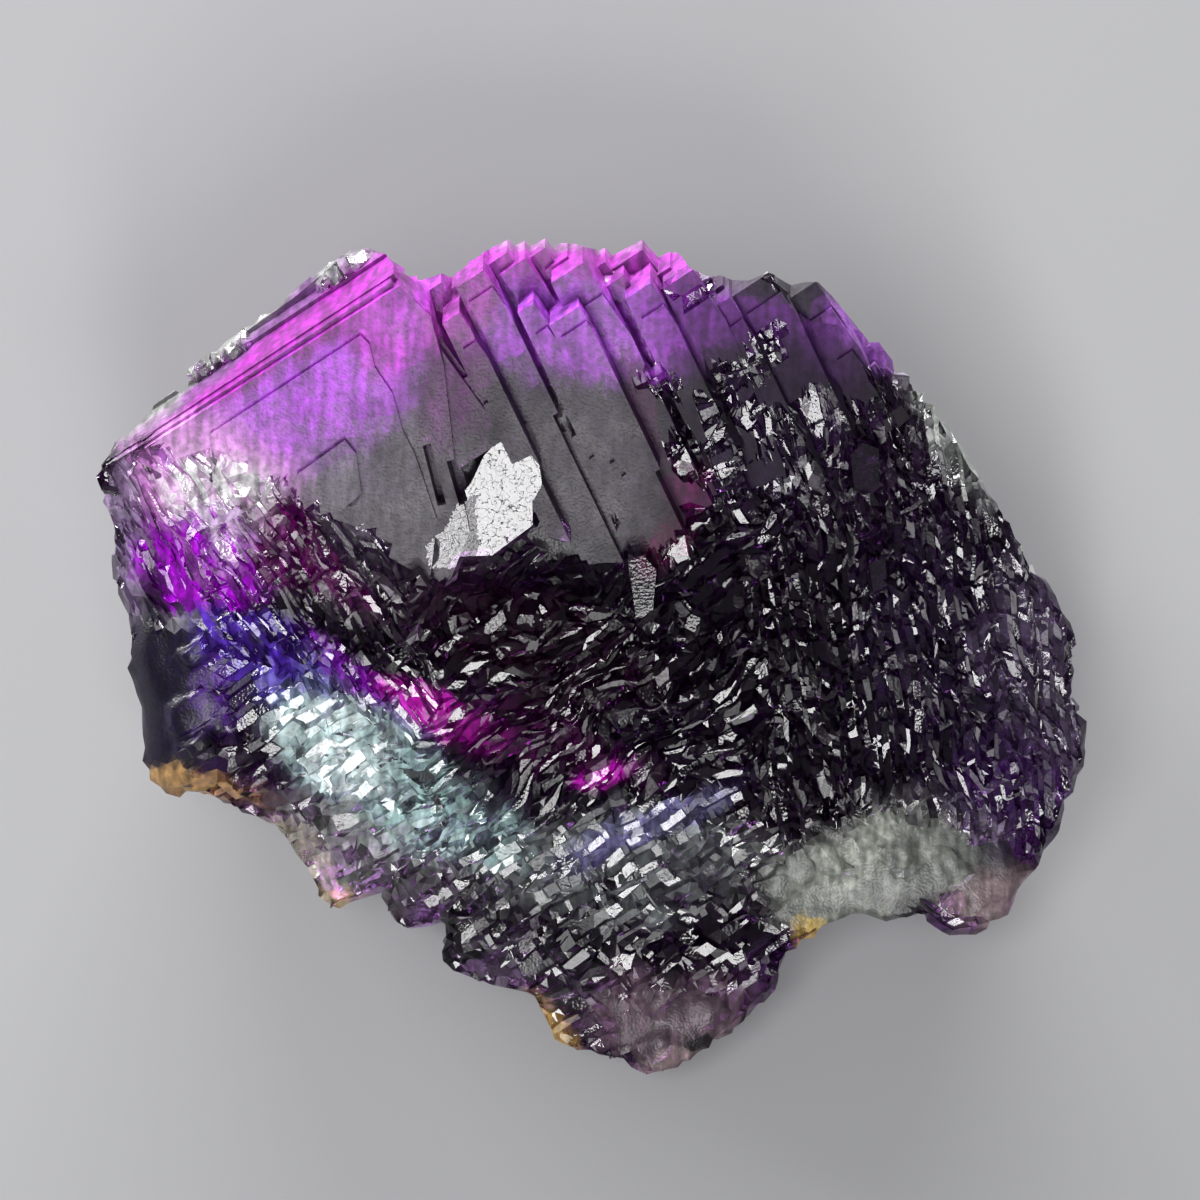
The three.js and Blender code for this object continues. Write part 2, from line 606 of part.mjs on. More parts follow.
function specimen() {
  const cubes = joined([
    ...mainCrystal(),
    ...RIDGES.flatMap(ridge),
    ...REAR_CUBES.map(rearCube),
  ]).intersect(solidOf(cubeLimit()));
  const front = joined([...mosaicBlocks(), ...WINDOWS.map(cleavageWindow), ...LUMPS.map(lump)]);
  const below = 60;
  const wide = 200;
  const lean = new THREE.Matrix4().makeRotationX(radians(LEAN_DEG));
  const ground = new THREE.BoxGeometry(wide, wide, below)
    .translate(0, 0, -DEPTH_TO_BASE - below / 2)
    .applyMatrix4(lean.clone().invert());
  const mass = solidOf(pillow())
    .add(cubes)
    .add(front)
    .subtract(joined(SLOTS.map(slot)))
    .subtract(backSlabs())
    .subtract(solidOf(ground));
  return geometryOf(mass).applyMatrix4(lean);
}

const geometry = specimen();
geometry.computeBoundingBox();
const box = geometry.boundingBox;
geometry.translate(-(box.min.x + box.max.x) / 2, -(box.min.y + box.max.y) / 2, -box.min.z);

const fluorite = new THREE.Mesh(
  geometry,
  new THREE.MeshStandardMaterial({ color: 0x5a2a78, roughness: 0.25, metalness: 0 }),
);
fluorite.name = "fluorite";

const specimenGroup = new THREE.Group();
specimenGroup.add(fluorite);

export default specimenGroup;
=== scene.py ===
import math

import bmesh
import bpy
import numpy as np
from mathutils import Matrix, Vector


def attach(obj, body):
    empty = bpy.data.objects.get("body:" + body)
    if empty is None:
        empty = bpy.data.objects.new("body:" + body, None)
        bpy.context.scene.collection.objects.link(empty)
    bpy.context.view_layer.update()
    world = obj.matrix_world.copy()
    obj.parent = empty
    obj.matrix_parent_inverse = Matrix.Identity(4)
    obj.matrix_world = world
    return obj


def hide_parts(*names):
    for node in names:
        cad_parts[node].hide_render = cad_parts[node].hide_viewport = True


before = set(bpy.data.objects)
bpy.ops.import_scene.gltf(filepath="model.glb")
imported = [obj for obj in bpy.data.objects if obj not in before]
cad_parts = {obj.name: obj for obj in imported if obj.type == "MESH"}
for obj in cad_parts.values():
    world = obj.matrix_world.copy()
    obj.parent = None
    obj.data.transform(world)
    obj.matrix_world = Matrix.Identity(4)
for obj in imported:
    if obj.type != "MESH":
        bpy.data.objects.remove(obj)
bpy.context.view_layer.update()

# The display frame has x across the specimen, y up it and z out of its best side, in mm.
# The crystal frame's axes u, v and w run along the cube edges.
MM = 0.001
LEAN_DEG = 15
SPIN_DEG = 34.5
TILT_DEG = 20
RIDGE_RUN_DEG = 10
DISPLAY_ORIGIN_MM = (0.670, 0.725, 15.0)

# The factors of the repeatable random numbers.
HASH_FIRST = 12.9898
HASH_STEP = 65.233
HASH_SPREAD = 43758.5453

# A zone's ellipse fades between these shares of its radius.
FADES_FROM = 0.55
FADES_TO = 1.25

lean = np.array(Matrix.Rotation(math.radians(LEAN_DEG), 3, "X"))
crystal = np.array(Matrix.Rotation(math.radians(TILT_DEG), 3, "X")) @ np.array(
    Matrix.Rotation(math.radians(SPIN_DEG), 3, "Z")
)
display_origin = np.array(DISPLAY_ORIGIN_MM)


def to_display(row_m):
    return (row_m / MM - display_origin) @ lean


def to_row(display_mm):
    return (display_mm @ lean.T + display_origin) * MM


def smooth(low, high, value):
    share = np.clip((value - low) / (high - low), 0.0, 1.0)
    return share * share * (3 - 2 * share)


def hashed(*numbers):
    """A repeatable random number from 0 to 1 for each row of numbers."""
    mixed = np.zeros(np.broadcast(*numbers).shape)
    for step, number in enumerate(numbers):
        mixed = mixed + np.asarray(number, float) * (HASH_FIRST + HASH_STEP * step)
    value = np.sin(mixed) * HASH_SPREAD
    return value - np.floor(value)


def draw(cells, number):
    """A random number from 0 to 1 for each cell. The number tells the draws apart."""
    return hashed(*cells.T, np.full(len(cells), float(number)))


def nearness(x, y, centre, radii, turn):
    """1 in the middle of a turned ellipse, fading to 0 past its edge."""
    angle = math.radians(turn)
    dx, dy = x - centre[0], y - centre[1]
    along = (dx * math.cos(angle) + dy * math.sin(angle)) / radii[0]
    across = (dy * math.cos(angle) - dx * math.sin(angle)) / radii[1]
    return smooth(FADES_TO, FADES_FROM, np.hypot(along, across))


def noise(points, scale, seed=0):
    """Smooth noise from -1 to 1 in three dimensions, changing over about scale mm."""
    at = points / scale
    cell = np.floor(at)
    share = at - cell
    share = share * share * (3 - 2 * share)
    total = np.zeros(len(points))
    for corner in range(8):
        step = np.array([corner & 1, corner >> 1 & 1, corner >> 2 & 1])
        weight = np.prod(np.where(step, share, 1 - share), axis=1)
        i, j, k = (cell + step).T
        total += weight * hashed(i, j, k, np.full(len(points), seed))
    return 2 * total - 1


def roughened(values, points, layers, shift=0):
    """The values with layers of noise: how much, over how many mm, and the layer's seed."""
    for amount, over, seed in layers:
        values = values + amount * noise(points, over, seed + shift)
    return values


# Fine surface: the plain solid's own faces, cut into blocks where the crystal is etched.

# The kinds of faces, and the longest edge that each may keep.
FLAT, ETCHED, BACK, BASE, MIRROR, CALM = range(6)
SPLIT_TO_MM = (1.7, 1.7, 2.0, 3.0, 0.8, 1.3)
COARSE_MM = 3.0
MOST_HALVINGS = 14
MOST_CUTS = 5
WELD_DIGITS = 4

# A face belongs to a crystal's flat side when it is turned this little from it.
SQUARE_WITHIN_DEG = 2.5

# The foot of the flat crystals, where the etched mosaic starts: x and y, left to right.
FOOT = np.array([
    (-41, 17.5), (-26, 14.5), (-20, 10.0), (-13.5, 5.6), (-5, 4.0), (3, 7.0), (7, 10.0),
    (12, 12.5), (18, 15.5), (26, 19.0), (41, 24.0),
])
FOOT_NOISE = ((1.0, 3.0, 21), (0.4, 1.1, 22))

# How much of the crystals' faces the etch has spared: all but the most etched spots at the
# left, less from there to the right, and more near the top.
SPARED = 1.3
SPARED_LESS = 1.25
SPARED_LESS_X = (-12, 12)
SPARED_MORE = 0.5
SPARED_MORE_Y = (20, 28)
BARE_NOISE = ((1.0, 3.2, 23), (0.5, 1.4, 24))

# Where a face counts as the back, the base or a window, by the height of its place and by
# how much it faces the viewer or upwards.
BACK_FACES_BELOW = -0.12
BACK_FROM_SLOPE = 0.22
BASE_UP_TO_MM = 0.01
BASE_FACES_BELOW = -0.99
WINDOW_FACES_ABOVE = 0.8

# The flat cleavage windows' outlines, x and y.
WINDOWS = [
    [(-9.2, 15.6), (-10.3, 13.3), (-12.6, 10.7), (-12.1, 7.3), (-8.7, 7.4), (-5.4, 9.9),
     (-5.4, 11.8), (-4.6, 13.2), (-4.8, 14.8), (-6.2, 16.6), (-8.1, 16.8)],
    [(2.2, 7.2), (2.9, 2.6), (4.2, 2.4), (4.5, 6.4), (3.4, 7.6)],
    [(4.3, 8.9), (7.1, 6.4), (6.3, 10.0)],
    [(5.9, 11.6), (8.5, 11.9), (8.6, 14.4), (5.8, 14.2)],
    [(20, 15.6), (20.4, 12.8), (22.4, 13.0), (22.3, 16.1), (21, 16.6)],
    [(21.5, 6.9), (21.9, 4.6), (23.0, 5.1), (22.8, 7.5)],
]

# The part of the largest crystal's face that is glassy too, beside the first window.
GLASSY_PART = [
    (-9.8, 12.4), (-11.4, 11.6), (-12.2, 9.9), (-13.9, 8.3), (-13.6, 6.6), (-9.8, 6.4),
]
GLASSY_SPLIT_MM = 0.45
GLASSY_REACH_MM = 3.5

# The sides between the ridges are worn smooth from this far above the foot.
RIDGES_FROM_X = -15
RIDGE_SIDES_FROM_MM = 4.0

# Parts of the etched front that are worn smooth: centre, half width and height, and turn.
CALM_PARTS = [
    ((21.5, -18), (9.5, 4.8), 8),
    ((7, -31), (7, 4.2), -20),
    ((-34.5, -4.5), (4, 7.5), 10),
    ((32, -19), (3, 4), 30),
]
CALM_NOISE_X = ((1.2, 2.5, 51),)
CALM_NOISE_Y = ((1.2, 2.5, 52),)
CALM_FROM = 0.45

# The corner under the largest crystal, where the zones paint a pale glow of light: centre,
# half width and height, and turn. The blocks stand out less there, and at the foot of the
# flat crystals.
LEFT_PAINTED_GLOW = ((-31, 12.5), (7, 5), -25)
GLOW_SOFTENS = 0.75
FOOT_SOFTENS = 0.45
FOOT_SOFTENS_OVER = (0, 2)

# The step wall between two blocks takes this share of a course.
WALL_SHARE = 0.12
SNAP_SHARE = 0.09
SAME_FACE_DEG = 12

# The body is rounded before it is etched, in rounds of a step in and a step back out.
ROUNDING_STEPS = (1.0, -1.04)
ROUNDING_TIMES = 7
ROUNDING_PULL = 0.5
ROUNDING_PULL_BACK = 0.25


def new_mesh(name, places, tris):
    mesh = bpy.data.meshes.new(name)
    mesh.vertices.add(len(places))
    mesh.vertices.foreach_set("co", places.astype(np.float32).ravel())
    mesh.loops.add(len(tris) * 3)
    mesh.loops.foreach_set("vertex_index", tris.ravel().astype(np.int32))
    mesh.polygons.add(len(tris))
    mesh.polygons.foreach_set("loop_start", np.arange(0, len(tris) * 3, 3, dtype=np.int32))
    mesh.polygons.foreach_set("loop_total", np.full(len(tris), 3, np.int32))
    mesh.update(calc_edges=True)
    return mesh


def cad_surface(name):
    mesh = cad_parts[name].data
    mesh.calc_loop_triangles()
    co = np.zeros(len(mesh.vertices) * 3)
    mesh.vertices.foreach_get("co", co)
    tris = np.zeros(len(mesh.loop_triangles) * 3, int)
    mesh.loop_triangles.foreach_get("vertices", tris)
    places = to_display(co.reshape(-1, 3))
    tris = tris.reshape(-1, 3)
    kept, index = np.unique(np.round(places, WELD_DIGITS), axis=0, return_inverse=True)
    tris = index.reshape(-1)[tris]
    apart = (tris[:, 0] != tris[:, 1]) & (tris[:, 1] != tris[:, 2]) & (tris[:, 2] != tris[:, 0])
    return kept, tris[apart]


def face_normals(places, tris):
    a, b, c = (places[tris[:, k]] for k in range(3))
    normals = np.cross(b - a, c - a)
    return normals / np.maximum(np.linalg.norm(normals, axis=1, keepdims=True), 1e-12)


def inside(outline, x, y):
    """Whether each point is inside the outline."""
    odd = np.zeros(x.shape, bool)
    for (x0, y0), (x1, y1) in zip(outline, outline[1:] + outline[:1]):
        if y0 == y1:
            continue
        spans = (y0 > y) != (y1 > y)
        odd ^= spans & (x < x0 + (y - y0) / (y1 - y0) * (x1 - x0))
    return odd


def on_crystal_axes(places, tris):
    """Which faces lie along the cubes' faces or the ridges' sides."""
    run = math.radians(RIDGE_RUN_DEG)
    axes = crystal @ np.array([
        (1, 0, 0), (0, 1, 0), (0, 0, 1), (math.cos(run), -math.sin(run), 0),
    ]).T
    square = np.abs(face_normals(places, tris) @ axes).max(axis=1)
    return square > math.cos(math.radians(SQUARE_WITHIN_DEG))


def above_foot(points):
    """How far each point is above the crystals' ragged foot."""
    foot = np.interp(points[:, 0], *FOOT.T)
    return roughened(points[:, 1] - foot, points, FOOT_NOISE)


def still_flat(points):
    """Where the etch has spared the crystals' faces, less and less to the right."""
    bare = roughened(0, points @ crystal, BARE_NOISE)
    spared = SPARED - SPARED_LESS * smooth(*SPARED_LESS_X, points[:, 0])
    spared = spared + SPARED_MORE * smooth(*SPARED_MORE_Y, points[:, 1])
    return (above_foot(points) > 0) & (bare < spared)


def kinds_of(places, tris, square):
    """Which faces are flat crystal faces, etched, the broken back, the base and windows."""
    normals = face_normals(places, tris)
    middles = places[tris].mean(axis=1)
    row_normals = normals @ lean.T
    row_height = (middles @ lean.T + display_origin)[:, 2]
    kinds = np.full(len(tris), ETCHED)
    kinds[(normals[:, 2] < BACK_FACES_BELOW) & ~square] = BACK
    kinds[square & still_flat(middles)] = FLAT
    kinds[(row_height < BASE_UP_TO_MM) & (row_normals[:, 2] < BASE_FACES_BELOW)] = BASE
    for outline in WINDOWS:
        window = inside(outline, middles[:, 0], middles[:, 1])
        window &= normals[:, 2] > WINDOW_FACES_ABOVE
        kinds[window & ~square] = MIRROR
    kinds[(kinds == FLAT) & inside(GLASSY_PART, middles[:, 0], middles[:, 1])] = MIRROR
    return kinds


def edges_of(tris):
    """The edges, which edge each face's three sides are, and whether they run its way."""
    following = np.roll(tris, -1, axis=1)
    low, high = np.minimum(tris, following), np.maximum(tris, following)
    span = tris.max() + 1
    keys, of_side = np.unique(low * span + high, return_inverse=True)
    edges = np.stack([keys // span, keys % span], axis=1)
    return edges, of_side.reshape(-1, 3), tris < following


def split_faces(places, tris, edges, of_side, share):
    """Cuts the edges that have a share, and the faces beside them. Also gives each parent."""
    cut = np.isfinite(share)
    new_index = np.full(len(edges), -1)
    new_index[cut] = len(places) + np.arange(cut.sum())
    start, end = places[edges[cut, 0]], places[edges[cut, 1]]
    places = np.vstack([places, start + share[cut, None] * (end - start)])
    turned, mids = tris.copy(), new_index[of_side]
    cuts = (mids >= 0).sum(axis=1)
    for _ in range(2):
        late = (mids[:, 0] < 0) | ((cuts == 2) & (mids[:, 1] < 0))
        late &= (cuts > 0) & (cuts < 3)
        turned[late] = np.roll(turned[late], -1, axis=1)
        mids[late] = np.roll(mids[late], -1, axis=1)
    (a, b, c), (ab, bc, ca) = turned.T, mids.T
    across_a = np.linalg.norm(places[a] - places[bc], axis=1)
    across_c = np.linalg.norm(places[c] - places[ab], axis=1)
    two_a = (cuts == 2) & (across_a < across_c)
    two_c = (cuts == 2) & ~two_a
    faces, parents = [], []
    for chosen, corners in (
        (cuts == 0, (a, b, c)), (cuts == 1, (a, ab, c)), (cuts == 1, (ab, b, c)),
        (cuts == 2, (ab, b, bc)), (two_a, (a, ab, bc)), (two_a, (a, bc, c)),
        (two_c, (a, ab, c)), (two_c, (ab, bc, c)), (cuts == 3, (a, ab, ca)),
        (cuts == 3, (ab, b, bc)), (cuts == 3, (bc, c, ca)), (cuts == 3, (ab, bc, ca)),
    ):
        faces.append(np.stack([corner[chosen] for corner in corners], axis=1))
        parents.append(np.flatnonzero(chosen))
    return places, np.vstack(faces), np.concatenate(parents)


def split_long_edges(places, tris, limits, labels):
    """Halves the edges longer than the limit of the faces beside them."""
    for _ in range(MOST_HALVINGS):
        edges, of_side, _ = edges_of(tris)
        limit = np.full(len(edges), np.inf)
        np.minimum.at(limit, of_side, three(limits))
        length = np.linalg.norm(places[edges[:, 0]] - places[edges[:, 1]], axis=1)
        long = length > limit
        if not long.any():
            break
        share = np.where(long, 0.5, np.nan)
        places, tris, parents = split_faces(places, tris, edges, of_side, share)
        limits, labels = limits[parents], labels[parents]
    return places, tris, labels


def cut_at_whole_numbers(places, tris, labels, values_at, corner_values):
    """Cuts the faces along the lines where the field, given at their corners, is whole.

    values_at gives numbers for each point, and corner_values makes the field from them."""
    at_points = values_at(places)
    for _ in range(MOST_CUTS):
        edges, of_side, forward = edges_of(tris)
        values = corner_values(at_points[tris], labels)
        whole = np.round(values)
        values = np.where(np.abs(values - whole) < SNAP_SHARE, whole, values)
        following = np.roll(values, -1, axis=1)
        low, high = np.minimum(values, following), np.maximum(values, following)
        level = np.floor(low) + 1
        crossing = np.isfinite(low) & (level < high)
        spread = np.where(crossing, high - low, 1.0)
        share = np.where(crossing, (level - low) / spread, np.inf)
        share = np.where((values < following) == forward, share, 1 - share)
        chosen = np.full(len(edges), np.inf)
        np.minimum.at(chosen, of_side[crossing], share[crossing])
        if not np.isfinite(chosen).any():
            break
        before = len(places)
        places, tris, parents = split_faces(places, tris, edges, of_side, chosen)
        at_points = np.concatenate([at_points, values_at(places[before:])])
        labels = {name: label[parents] for name, label in labels.items()}
    return places, tris, labels


def neighbour_mean(values, edges, count):
    total = np.zeros_like(values)
    for k in range(values.shape[1]):
        total[:, k] = np.bincount(edges[:, 0], values[edges[:, 1], k], len(values))
        total[:, k] += np.bincount(edges[:, 1], values[edges[:, 0], k], len(values))
    return total / count[:, None]


def unit(vectors):
    return vectors / np.maximum(np.linalg.norm(vectors, axis=-1, keepdims=True), 1e-9)


def point_normals(places, tris):
    a, b, c = (places[tris[:, k]] for k in range(3))
    weighted = np.cross(b - a, c - a)
    total = np.zeros_like(places)
    for k in range(3):
        for axis in range(3):
            total[:, axis] += np.bincount(tris[:, k], weighted[:, axis], len(places))
    return unit(total)


# The etched zones: each has courses of blocks. Across and along give the size of a block in
# mm, wander and ragged how far the lines of a course bend, skew how slanted the blocks' ends
# are and level how uneven the blocks are. The true share of their tops lies along the cube
# face. The rest lean by up to tip degrees and follow the surface.
UPRIGHT_SLANT = 0.12
upright_frame = np.array([
    (1.0, UPRIGHT_SLANT, 0.0), (-UPRIGHT_SLANT, 1.0, 0.0), (0.0, 0.0, 1.0),
]).T
upright_frame[:, 2] = crystal[:, 2]
TRUE_TIP_DEG = 2.5
COURSES, SHARDS, FLAKES, UPRIGHT = range(4)
ETCH = {
    COURSES: dict(axes=crystal[:, [1, 0, 2]], across=0.82, along=1.2, wander=0.5,
                  ragged=0.10, skew=0.35, level=0.14, true=0.5, tip=10, follow=0.4),
    SHARDS: dict(axes=crystal[:, [1, 0, 2]], across=0.64, along=1.15, wander=1.5,
                 ragged=0.30, skew=1.5, level=0.18, true=0.3, tip=22, follow=0.5),
    FLAKES: dict(axes=crystal[:, [0, 1, 2]], across=0.48, along=1.8, wander=0.9,
                 ragged=0.20, skew=1.4, level=0.10, true=0.3, tip=15, follow=0.5),
    UPRIGHT: dict(axes=upright_frame, across=0.5, along=1.05, wander=0.6,
                  ragged=0.14, skew=0.9, level=0.09, true=0.2, tip=18, follow=0.6),
}

# The zones' borders. A slanted one has its y at x = 0 or, for the flakes, at their own edge.
BORDER_SWAY_MM = 1.5
BORDER_SWAY_PER_MM = 0.5
SHARDS_X = (-16, 15)
SHARDS_FROM_Y = -13
SHARDS_SLOPE = 0.2
FLAKES_TO_X = -14
FLAKES_FROM_Y = -8
FLAKES_SLOPE = -0.5
UPRIGHT_FROM_X = 13
UPRIGHT_FROM_Y = -17

# How the courses bend and how uneven they and their blocks are.
WANDER_OVER_MM = 4.5
WANDER_SEED = 31
RAGGED_OVER_MM = 1.5
RAGGED_SEED = 35
COURSE_UNEVEN = 0.22
COURSE_UNEVEN_PER = 2.3
BLOCK_UNEVEN = 0.3
BLOCK_UNEVEN_PER = 2.6
SHORTEST_BLOCK = 0.7
BLOCK_LENGTHS_SPREAD = 0.8

# Pits: the blocks that are drawn above this sink by this much more.
PIT_ABOVE = 0.93
PIT_MM = 0.45

# The numbers that tell the blocks' random draws apart.
DRAW_SHIFT = 3
DRAW_CHANCE = 5
DRAW_DULL = 6
DRAW_STRETCH = 7
DRAW_SLANT = 9
DRAW_ASKEW = (11, 12, 13)
DRAW_RISE = 14
DRAW_PIT = 15
DRAW_TRUE = 16

# A block's top moves its points along the way out, up to a limit, and fades out on slopes.
MOST_SLANTED = 0.4
BLOCK_MOVES_MM = 0.8
BLOCKS_FADE_AT = (0.15, 0.5)

# The small conchoidal facets of the broken back: their size, rise, tip and seed.
FACETS = dict(size=(3.2, 2.4, 2.4), rise=0.12, tip=6, seed=41)
FACET_WARP_OVER_MM = 7.0
FACET_WARP = 0.3
FACET_MOVES_MM = 0.5
FACET_RISE_DRAW = 5


def zone_at(points):
    """The etched zone at each point of the display frame."""
    x = points[..., 0] + BORDER_SWAY_MM * np.sin(points[..., 1] * BORDER_SWAY_PER_MM)
    y = points[..., 1]
    zone = np.full(points.shape[:-1], COURSES)
    shards = (x > SHARDS_X[0]) & (y > SHARDS_FROM_Y + SHARDS_SLOPE * x) & (x < SHARDS_X[1])
    zone[shards] = SHARDS
    zone[(x < FLAKES_TO_X) & (y > FLAKES_FROM_Y + FLAKES_SLOPE * (x - FLAKES_TO_X))] = FLAKES
    zone[(x > UPRIGHT_FROM_X) & (y > UPRIGHT_FROM_Y)] = UPRIGHT
    return zone


def zone_places(points):
    """How many blocks across and along its courses each point is, in each of the zones."""
    columns = []
    wander = [noise(points, WANDER_OVER_MM, WANDER_SEED + k) for k in range(2)]
    ragged = [noise(points, RAGGED_OVER_MM, RAGGED_SEED + k) for k in range(2)]
    for number, etch in ETCH.items():
        for axis, size in enumerate(("across", "along")):
            bend = etch["wander"] * wander[axis] + etch["ragged"] * ragged[axis]
            place = (points @ etch["axes"][:, axis] + bend) / etch[size]
            columns.append(place + COURSE_UNEVEN * np.sin(COURSE_UNEVEN_PER * place + number))
    return np.stack(columns, axis=-1).reshape(len(points), len(ETCH), 2)


def in_zone(pairs, zone):
    return np.take_along_axis(pairs, zone[..., None, None], axis=-2)[..., 0, :]


def three(values):
    return values[:, None].repeat(3, axis=1)


def etch_values(name, zone):
    return np.array([etch[name] for etch in ETCH.values()])[zone]


def along_course(pair, zone, course):
    """How many blocks along its own course each place is."""
    def drawn(number):
        return hashed(course, zone, np.full(course.shape, float(number)))

    shift = drawn(DRAW_SHIFT)
    stretch = SHORTEST_BLOCK + BLOCK_LENGTHS_SPREAD * drawn(DRAW_STRETCH)
    slant = 2 * drawn(DRAW_SLANT) - 1
    place = pair[..., 1] / stretch + shift
    place = place + slant * etch_values("skew", zone) * (pair[..., 0] - course)
    return place + BLOCK_UNEVEN * np.sin(BLOCK_UNEVEN_PER * place + math.tau * shift)


def cut_blocks(places, tris, kinds):
    labels = {"kind": kinds, "zone": zone_at(places[tris].mean(axis=1))}
    for shift in (0, WALL_SHARE):
        def courses(pairs, at):
            course = in_zone(pairs, three(at["zone"]))[..., 0] - shift
            return np.where((at["kind"] == ETCHED)[:, None], course, np.nan)

        places, tris, labels = cut_at_whole_numbers(places, tris, labels, zone_places, courses)
    middles = places[tris].mean(axis=1)
    labels["course"] = np.floor(in_zone(zone_places(middles), labels["zone"])[..., 0])
    for shift in (0, WALL_SHARE):
        def blocks(pairs, at):
            zone, course = three(at["zone"]), three(at["course"])
            block = along_course(in_zone(pairs, zone), zone, course) - shift
            return np.where((at["kind"] == ETCHED)[:, None], block, np.nan)

        places, tris, labels = cut_at_whole_numbers(places, tris, labels, zone_places, blocks)
    return places, tris, labels["kind"]


def block_cells(points):
    """The zone, course and block that each point belongs to."""
    zone = zone_at(points)
    pair = in_zone(zone_places(points), zone)
    course = np.floor(pair[..., 0] - WALL_SHARE / 2)
    block = np.floor(along_course(pair, zone, course) - WALL_SHARE / 2)
    return np.stack([zone, course, block], axis=1)


def cell_mean(values, index):
    """The mean of the values of each cell's points."""
    count = np.bincount(index)
    return np.stack([np.bincount(index, values[:, k]) / count for k in range(3)], axis=1)


def sorted_cells(cells):
    """Each cell once, and which of them each point belongs to."""
    kept, index = np.unique(cells, axis=0, return_inverse=True)
    return kept, index.reshape(-1)


def askew_ways(cells, numbers):
    return np.stack([2 * draw(cells, number) - 1 for number in numbers], axis=1)


def level_blocks(places, tris, weight):
    """Lays each block's top on a plane of its own, mostly along the cube face."""
    cells, index = sorted_cells(block_cells(places))
    normals = point_normals(places, tris)
    zone = cells[:, 0].astype(int)
    out = etch_values("axes", zone)[:, :, 2]
    facing = unit(cell_mean(normals, index))
    true = draw(cells, DRAW_TRUE) < etch_values("true", zone)
    tip = np.where(true, TRUE_TIP_DEG, etch_values("tip", zone))
    lean_by = np.tan(np.radians(tip))[:, None]
    follow = np.where(true, 0, etch_values("follow", zone))[:, None]
    level = unit(follow * facing + (1 - follow) * out)
    top = unit(level + askew_ways(cells, DRAW_ASKEW) * lean_by)
    rise = etch_values("level", zone) * (2 * draw(cells, DRAW_RISE) - 1)
    rise -= PIT_MM * (draw(cells, DRAW_PIT) > PIT_ABOVE)
    centre = cell_mean(places, index) + facing * rise[:, None]
    way = out[index]
    toward = np.maximum(np.einsum("ij,ij->i", top[index], way), MOST_SLANTED)
    gap = np.einsum("ij,ij->i", centre[index] - places, top[index]) / toward
    strength = weight * smooth(*BLOCKS_FADE_AT, np.einsum("ij,ij->i", normals, way))
    move = np.clip(gap, -BLOCK_MOVES_MM, BLOCK_MOVES_MM) * strength
    return places + way * move[:, None]


def break_cells(places, tris, weight, size, rise, tip, seed):
    """Small conchoidal facets on the broken back and sides."""
    warp = np.stack([noise(places, FACET_WARP_OVER_MM, seed + k) for k in range(3)], axis=1)
    cells = np.floor((places + warp * size[0] * FACET_WARP) @ crystal / np.array(size))
    cells, index = sorted_cells(cells)
    normals = point_normals(places, tris)
    facing = unit(cell_mean(normals, index))
    askew = askew_ways(cells, (seed, seed + 1, seed + 2))
    top = unit(facing + askew * math.tan(math.radians(tip)))
    rises = rise * (2 * draw(cells, seed + FACET_RISE_DRAW) - 1)
    centre = cell_mean(places, index) + facing * rises[:, None]
    toward = np.maximum(np.einsum("ij,ij->i", normals, top[index]), MOST_SLANTED)
    gap = np.einsum("ij,ij->i", centre[index] - places, top[index]) / toward
    move = np.clip(gap, -FACET_MOVES_MM, FACET_MOVES_MM) * weight
    return places + normals * move[:, None]


def touches(places, tris, chosen):
    mark = np.zeros(len(places), bool)
    mark[tris[chosen].ravel()] = True
    return mark


def calmness(points):
    """1 where the etched front is worn smooth, 0 where it is sharp."""
    x = roughened(points[:, 0], points, CALM_NOISE_X)
    y = roughened(points[:, 1], points, CALM_NOISE_Y)
    return np.max([nearness(x, y, *part) for part in CALM_PARTS], axis=0)


def merge_block_faces(places, tris, kinds):
    """Joins the flat faces of each etched block, and cuts them into fewer triangles."""
    mesh = new_mesh("draft", places, tris)
    mesh.polygons.foreach_set("material_index", kinds.astype(np.int32))
    draft = bmesh.new()
    draft.from_mesh(mesh)
    etched = {face for face in draft.faces if face.material_index == ETCHED}
    edges = [edge for edge in draft.edges if etched.issuperset(edge.link_faces)]
    corners = [vert for vert in draft.verts if etched.issuperset(vert.link_faces)]
    bmesh.ops.dissolve_limit(
        draft, angle_limit=math.radians(SAME_FACE_DEG), verts=corners, edges=edges,
        use_dissolve_boundaries=False, delimit={"MATERIAL"},
    )
    bmesh.ops.triangulate(draft, faces=draft.faces)
    draft.to_mesh(mesh)
    draft.free()
    places = np.zeros(len(mesh.vertices) * 3)
    mesh.vertices.foreach_get("co", places)
    tris = np.zeros(len(mesh.polygons) * 3, np.int32)
    mesh.loops.foreach_get("vertex_index", tris)
    kinds = np.zeros(len(mesh.polygons), np.int32)
    mesh.polygons.foreach_get("material_index", kinds)
    bpy.data.meshes.remove(mesh)
    return places.reshape(-1, 3), tris.reshape(-1, 3).astype(int), kinds


